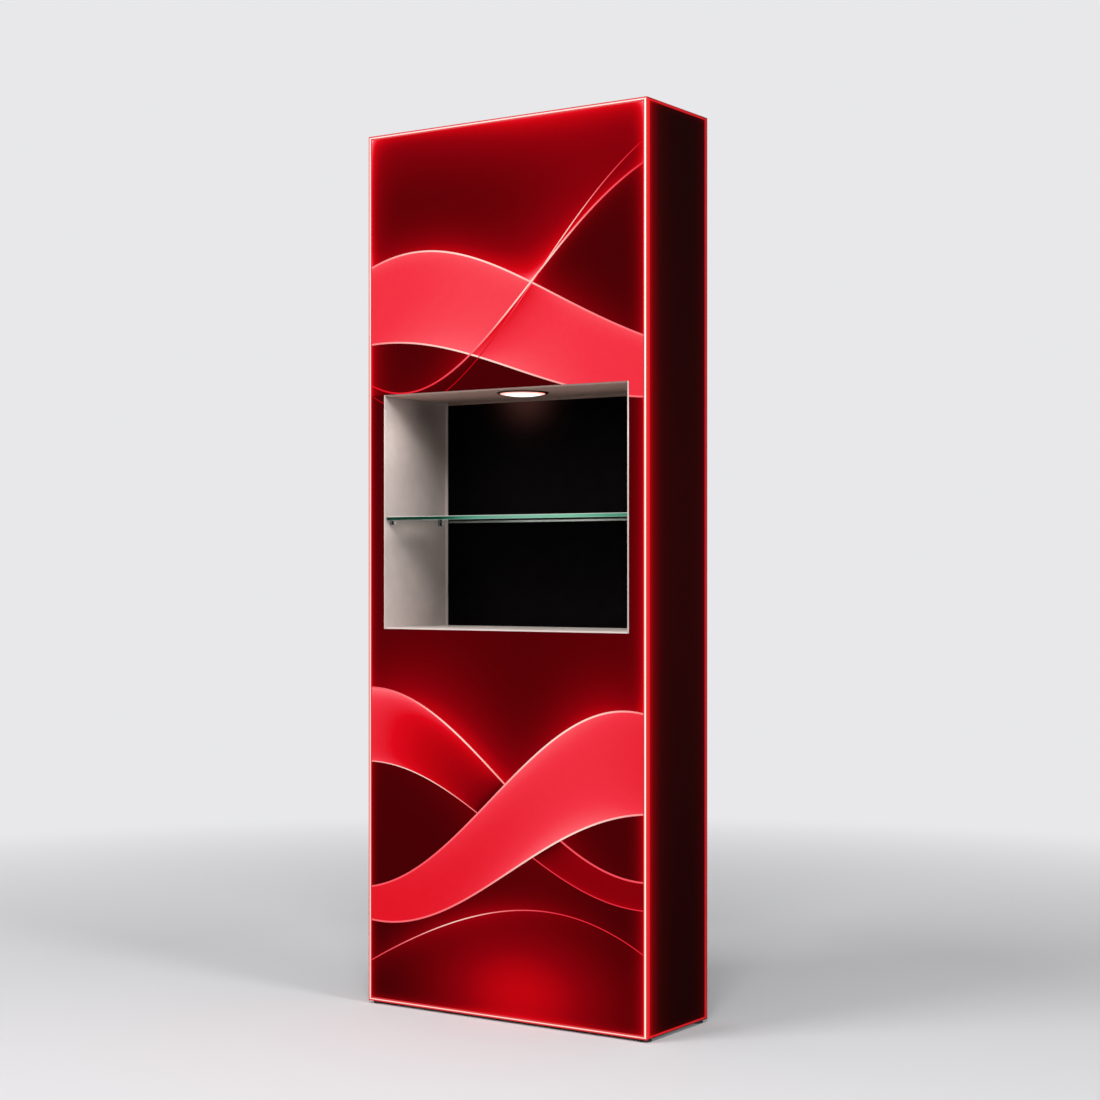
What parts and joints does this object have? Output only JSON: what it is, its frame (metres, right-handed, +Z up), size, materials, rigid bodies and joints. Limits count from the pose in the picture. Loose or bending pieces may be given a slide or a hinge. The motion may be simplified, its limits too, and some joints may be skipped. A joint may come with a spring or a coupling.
{
  "type": "display showcase",
  "caption": "Free-standing edge-lit display tower: aluminium frame, back-lit stretched fabric front and a lit recessed showcase with a glass shelf.",
  "frame": {"origin": "on the floor under the middle of the stand", "axes": "+X to the viewer's right, -Y towards the viewer (the showcase opens that way), +Z up"},
  "size_m": [0.9, 0.31, 2.4],
  "materials": {
    "black_aluminium": "satin black coated extrusion",
    "cast_aluminium": "as-cast",
    "white_diffuser": "milky lit diffuser",
    "red_diffuser": "red lit diffuser",
    "dark_side_panel": "satin, very dark red",
    "printed_fabric": "stretched printed textile, lit from behind",
    "black_panel": "matt black sheet",
    "showcase_panel": "smooth warm white sheet",
    "shelf_glass": "clear, polished green edge",
    "polished_chrome": "polished",
    "bezel_metal": "satin black",
    "opal_lens": "opal, lit",
    "heat_sink_aluminium": "die-cast",
    "spring_steel": "bright strip",
    "led_board": "white coated board",
    "driver_case": "plain anodised",
    "black_moulding": "fine matt moulding",
    "foot_moulding": "tough matt moulding"
  },
  "bodies": {
    "case": {"base_panel": "black_panel", "corner_connector_front_bottom_left": "cast_aluminium", "corner_connector_front_bottom_right": "cast_aluminium", "corner_connector_front_top_left": "cast_aluminium", "corner_connector_front_top_right": "cast_aluminium", "corner_connector_rear_bottom_left": "cast_aluminium", "corner_connector_rear_bottom_right": "cast_aluminium", "corner_connector_rear_top_left": "cast_aluminium", "corner_connector_rear_top_right": "cast_aluminium", "depth_rail_bottom_left": "black_aluminium", "depth_rail_bottom_right": "black_aluminium", "depth_rail_top_left": "black_aluminium", "depth_rail_top_right": "black_aluminium", "downlight_bezel": "bezel_metal", "downlight_heat_sink": "heat_sink_aluminium", "downlight_lens": "opal_lens", "front_frame_bottom": "black_aluminium", "front_frame_left": "black_aluminium", "front_frame_right": "black_aluminium", "front_frame_top": "black_aluminium", "front_graphic": "printed_fabric", "front_light_bottom": "white_diffuser", "front_light_left": "white_diffuser", "front_light_right": "white_diffuser", "front_light_top": "white_diffuser", "led_bar_1": "led_board", "led_bar_2": "led_board", "led_bar_3": "led_board", "led_bar_4": "led_board", "led_driver": "driver_case", "left_side_panel": "dark_side_panel", "power_inlet": "black_moulding", "rear_frame_bottom": "black_aluminium", "rear_frame_left": "black_aluminium", "rear_frame_right": "black_aluminium", "rear_frame_top": "black_aluminium", "rear_panel": "black_panel", "right_side_panel": "dark_side_panel", "shelf_stud_front_left": "polished_chrome", "shelf_stud_front_right": "polished_chrome", "shelf_stud_rear_left": "polished_chrome", "shelf_stud_rear_right": "polished_chrome", "showcase_back": "black_panel", "showcase_ceiling": "showcase_panel", "showcase_floor": "showcase_panel", "showcase_left_wall": "showcase_panel", "showcase_right_wall": "showcase_panel", "side_light_left": "red_diffuser", "side_light_right": "red_diffuser", "support_rail_front": "black_aluminium", "support_rail_rear": "black_aluminium", "top_panel": "black_panel"},
    "shelf": {"glass_shelf": "shelf_glass"},
    "rocker": {"rocker_switch": "black_moulding"},
    "clip_left": {"downlight_clip_left": "spring_steel"},
    "clip_right": {"downlight_clip_right": "spring_steel"},
    "foot_front_left": {"levelling_foot_front_left": "foot_moulding"},
    "foot_front_right": {"levelling_foot_front_right": "foot_moulding"},
    "foot_rear_left": {"levelling_foot_rear_left": "foot_moulding"},
    "foot_rear_right": {"levelling_foot_rear_right": "foot_moulding"}
  },
  "joints": [
    {"name": "shelf_slide", "type": "slide", "parent": "case", "child": "shelf", "axis": [0, -1, 0], "range_m": [0, 0.11]},
    {"name": "rocker_tilt", "type": "hinge", "parent": "case", "child": "rocker", "pos_m": [0.264, 0.1497, 0.024], "axis": [-1, 0, 0], "range_deg": [0, 14]},
    {"name": "clip_left_hinge", "type": "hinge", "parent": "case", "child": "clip_left", "pos_m": [-0.0669, -0.056, 1.704], "axis": [0, 1, 0], "range_deg": [0, 75], "stiffness_Nm_per_rad": 0.05, "springref_deg": -22.92},
    {"name": "clip_right_hinge", "type": "hinge", "parent": "case", "child": "clip_right", "pos_m": [0.0669, -0.056, 1.704], "axis": [0, -1, 0], "range_deg": [0, 75], "stiffness_Nm_per_rad": 0.05, "springref_deg": -22.92},
    {"name": "foot_front_left_screw", "type": "slide", "parent": "case", "child": "foot_front_left", "axis": [0, 0, -1], "range_m": [0, 0.012]},
    {"name": "foot_front_right_screw", "type": "slide", "parent": "case", "child": "foot_front_right", "axis": [0, 0, -1], "range_m": [0, 0.012]},
    {"name": "foot_rear_left_screw", "type": "slide", "parent": "case", "child": "foot_rear_left", "axis": [0, 0, -1], "range_m": [0, 0.012]},
    {"name": "foot_rear_right_screw", "type": "slide", "parent": "case", "child": "foot_rear_right", "axis": [0, 0, -1], "range_m": [0, 0.012]}
  ]
}
